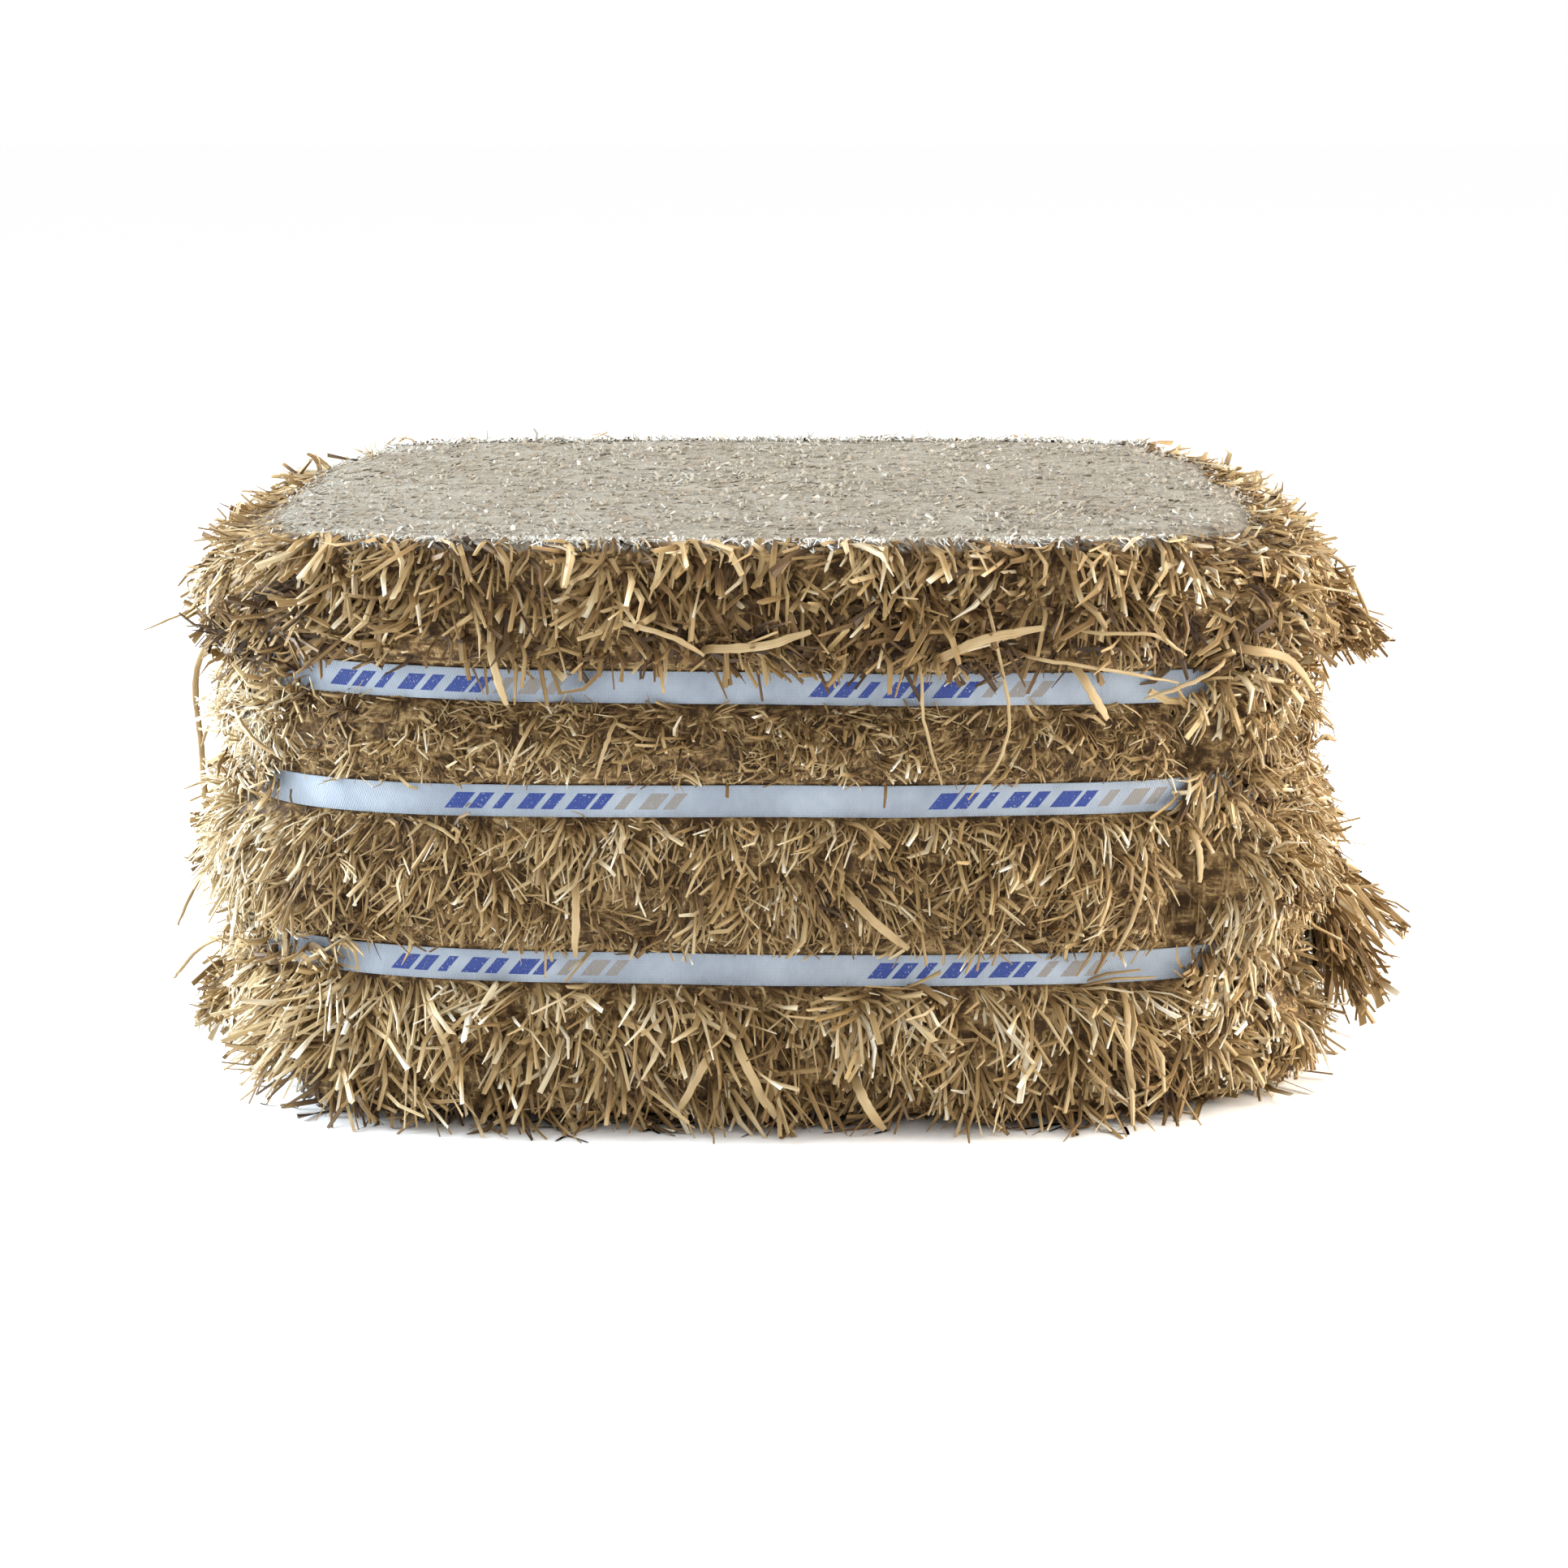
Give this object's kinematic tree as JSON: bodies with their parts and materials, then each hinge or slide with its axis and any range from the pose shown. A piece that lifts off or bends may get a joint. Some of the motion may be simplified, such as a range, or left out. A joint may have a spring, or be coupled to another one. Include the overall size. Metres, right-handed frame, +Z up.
{
  "type": "square hay bale",
  "caption": "Compressed square bale of straw with a flat-cut top and shaggy sides, held by flat plastic straps that run level round it, with loose stalks hanging out.",
  "frame": {"origin": "centre of the flat face that the bale rests on, on the floor", "axes": "+Z up, +X along the bale's longer side, -Y to the front of the picture"},
  "size_m": [0.6602, 0.5071, 0.292],
  "materials": {
    "straw": "matte, pressed straw",
    "stalk": "satin, dry stalk",
    "strap": "satin"
  },
  "bodies": {
    "root": {"straw_block": "straw", "strap_lower": "strap", "strap_middle": "strap", "strap_upper": "strap", "front_stalk_01": "stalk", "front_stalk_02": "stalk", "front_stalk_03": "stalk", "front_stalk_04": "stalk", "front_stalk_05": "stalk", "front_stalk_06": "stalk", "front_stalk_07": "stalk", "front_stalk_08": "stalk", "front_stalk_09": "stalk", "front_stalk_10": "stalk", "front_stalk_11": "stalk", "front_stalk_12": "stalk", "front_stalk_13": "stalk", "front_stalk_14": "stalk", "front_stalk_15": "stalk", "front_stalk_16": "stalk", "front_stalk_17": "stalk", "front_stalk_18": "stalk", "front_stalk_19": "stalk", "front_stalk_20": "stalk", "front_stalk_21": "stalk", "left_stalk_01": "stalk", "left_stalk_02": "stalk", "left_stalk_03": "stalk", "left_stalk_04": "stalk", "left_stalk_05": "stalk", "left_stalk_06": "stalk", "right_stalk_01": "stalk", "right_stalk_02": "stalk", "right_stalk_03": "stalk", "right_stalk_04": "stalk", "right_stalk_05": "stalk", "back_stalk_01": "stalk", "back_stalk_02": "stalk"}
  },
  "joints": []
}
